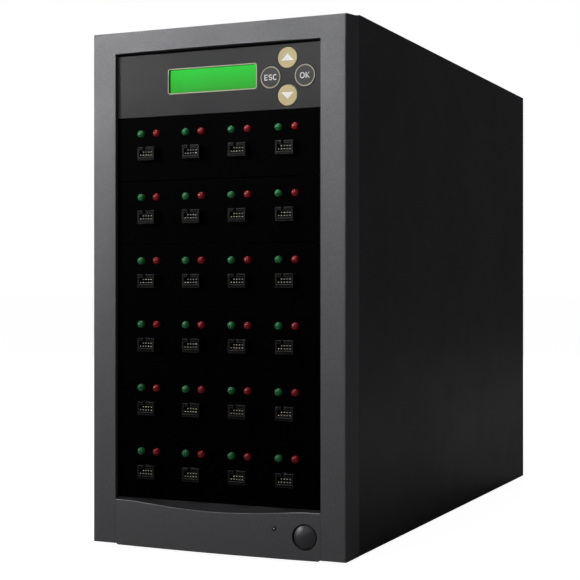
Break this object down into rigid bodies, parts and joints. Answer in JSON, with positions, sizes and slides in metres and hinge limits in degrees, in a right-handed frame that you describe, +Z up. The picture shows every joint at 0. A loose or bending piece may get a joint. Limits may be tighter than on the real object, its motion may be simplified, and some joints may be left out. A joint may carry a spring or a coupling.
{
  "type": "drive duplicator",
  "caption": "Tower copying machine for plug-in flash drives: stacked bay panels with pinned ports and paired lamps, a display with four keys, a power button and a finned rear.",
  "frame": {"origin": "on the floor under the middle of the whole object's box", "axes": "+X to the right seen from the front, +Y from the front to the back, +Z up"},
  "size_m": [0.1842, 0.4484, 0.3489],
  "materials": {
    "painted_steel": "satin black powder coat",
    "bare_steel": "plain zinc-plated sheet",
    "bright_screw": "nickel-plated",
    "rubber": "matt",
    "bezel_plastic": "fine-grained metallic grey",
    "panel_plastic": "polished black",
    "control_plastic": "semi-gloss dark grey",
    "button_plastic": "semi-gloss dark grey",
    "key_plastic": "semi-gloss",
    "arrow_key_plastic": "satin gold print",
    "lit_glass": "lit green display",
    "circuit_board": "solder mask",
    "header_plastic": "moulded",
    "contact": "gold-plated",
    "green_lens": "clear tinted epoxy",
    "red_lens": "clear tinted epoxy",
    "switch_plastic": "moulded",
    "cable_sheath": "flexible jacket",
    "fan_plastic": "moulded",
    "guard_wire": "plated wire"
  },
  "bodies": {
    "chassis": {"base_pan": "painted_steel", "rear_panel": "bare_steel", "front_plate": "bare_steel", "bay_rail_left": "bare_steel", "bay_rail_right": "bare_steel", "top_cover": "painted_steel", "side_panel_left": "painted_steel", "side_panel_right": "painted_steel", "rubber_feet": "rubber", "thumbscrews": "bright_screw", "chassis_screws": "bright_screw", "bezel_frame": "bezel_plastic", "lower_bezel": "bezel_plastic", "power_switch": "switch_plastic", "power_lamp": "green_lens", "control_panel": "control_plastic", "screen_module": "bare_steel", "screen_glass": "lit_glass", "key_board": "circuit_board", "key_switches": "switch_plastic", "header_pins": "contact", "green_lamps": "green_lens", "red_lamps": "red_lens", "controller_board": "circuit_board", "wiring_harness": "cable_sheath", "psu_tray": "bare_steel", "psu_cover": "bare_steel", "psu_board": "circuit_board", "psu_inlet": "switch_plastic", "psu_switch_frame": "switch_plastic", "psu_fan_frame": "fan_plastic", "rear_fan_frame": "fan_plastic", "rear_fan_guard": "guard_wire", "bay_panel_1": "panel_plastic", "port_board_1": "circuit_board", "port_headers_1": "header_plastic", "bay_panel_2": "panel_plastic", "port_board_2": "circuit_board", "port_headers_2": "header_plastic", "bay_panel_3": "panel_plastic", "port_board_3": "circuit_board", "port_headers_3": "header_plastic", "bay_panel_4": "panel_plastic", "port_board_4": "circuit_board", "port_headers_4": "header_plastic", "bay_panel_5": "panel_plastic", "port_board_5": "circuit_board", "port_headers_5": "header_plastic", "bay_panel_6": "panel_plastic", "port_board_6": "circuit_board", "port_headers_6": "header_plastic"},
    "power_button": {"power_button": "button_plastic", "switch_plunger": "switch_plastic"},
    "key_up": {"key_up": "arrow_key_plastic"},
    "key_down": {"key_down": "arrow_key_plastic"},
    "key_escape": {"key_escape": "key_plastic"},
    "key_ok": {"key_ok": "key_plastic"},
    "rocker": {"psu_rocker": "switch_plastic"},
    "psu_fan_rotor": {"psu_fan_rotor": "fan_plastic"},
    "rear_fan_rotor": {"rear_fan_rotor": "fan_plastic"}
  },
  "joints": [
    {"name": "power_button_press", "type": "slide", "parent": "chassis", "child": "power_button", "axis": [0, 1, 0], "range_m": [0, 0.003], "stiffness_N_per_m": 400, "springref_m": -0.001},
    {"name": "key_up_press", "type": "slide", "parent": "chassis", "child": "key_up", "axis": [0, 1, 0], "range_m": [0, 0.0005], "stiffness_N_per_m": 800, "springref_m": -0.0003},
    {"name": "key_down_press", "type": "slide", "parent": "chassis", "child": "key_down", "axis": [0, 1, 0], "range_m": [0, 0.0005], "stiffness_N_per_m": 800, "springref_m": -0.0003},
    {"name": "key_escape_press", "type": "slide", "parent": "chassis", "child": "key_escape", "axis": [0, 1, 0], "range_m": [0, 0.0005], "stiffness_N_per_m": 800, "springref_m": -0.0003},
    {"name": "key_ok_press", "type": "slide", "parent": "chassis", "child": "key_ok", "axis": [0, 1, 0], "range_m": [0, 0.0005], "stiffness_N_per_m": 800, "springref_m": -0.0003},
    {"name": "psu_rocker_tip", "type": "hinge", "parent": "chassis", "child": "rocker", "pos_m": [-0.048, 0.2176, 0.2831], "axis": [0, 0, 1], "range_deg": [-22, 0]},
    {"name": "psu_fan_spin", "type": "hinge", "parent": "chassis", "child": "psu_fan_rotor", "pos_m": [0.025, 0.2056, 0.3041], "axis": [0, 1, 0], "continuous": true},
    {"name": "rear_fan_spin", "type": "hinge", "parent": "chassis", "child": "rear_fan_rotor", "pos_m": [0, 0.2066, 0.2061], "axis": [0, 1, 0], "continuous": true}
  ]
}
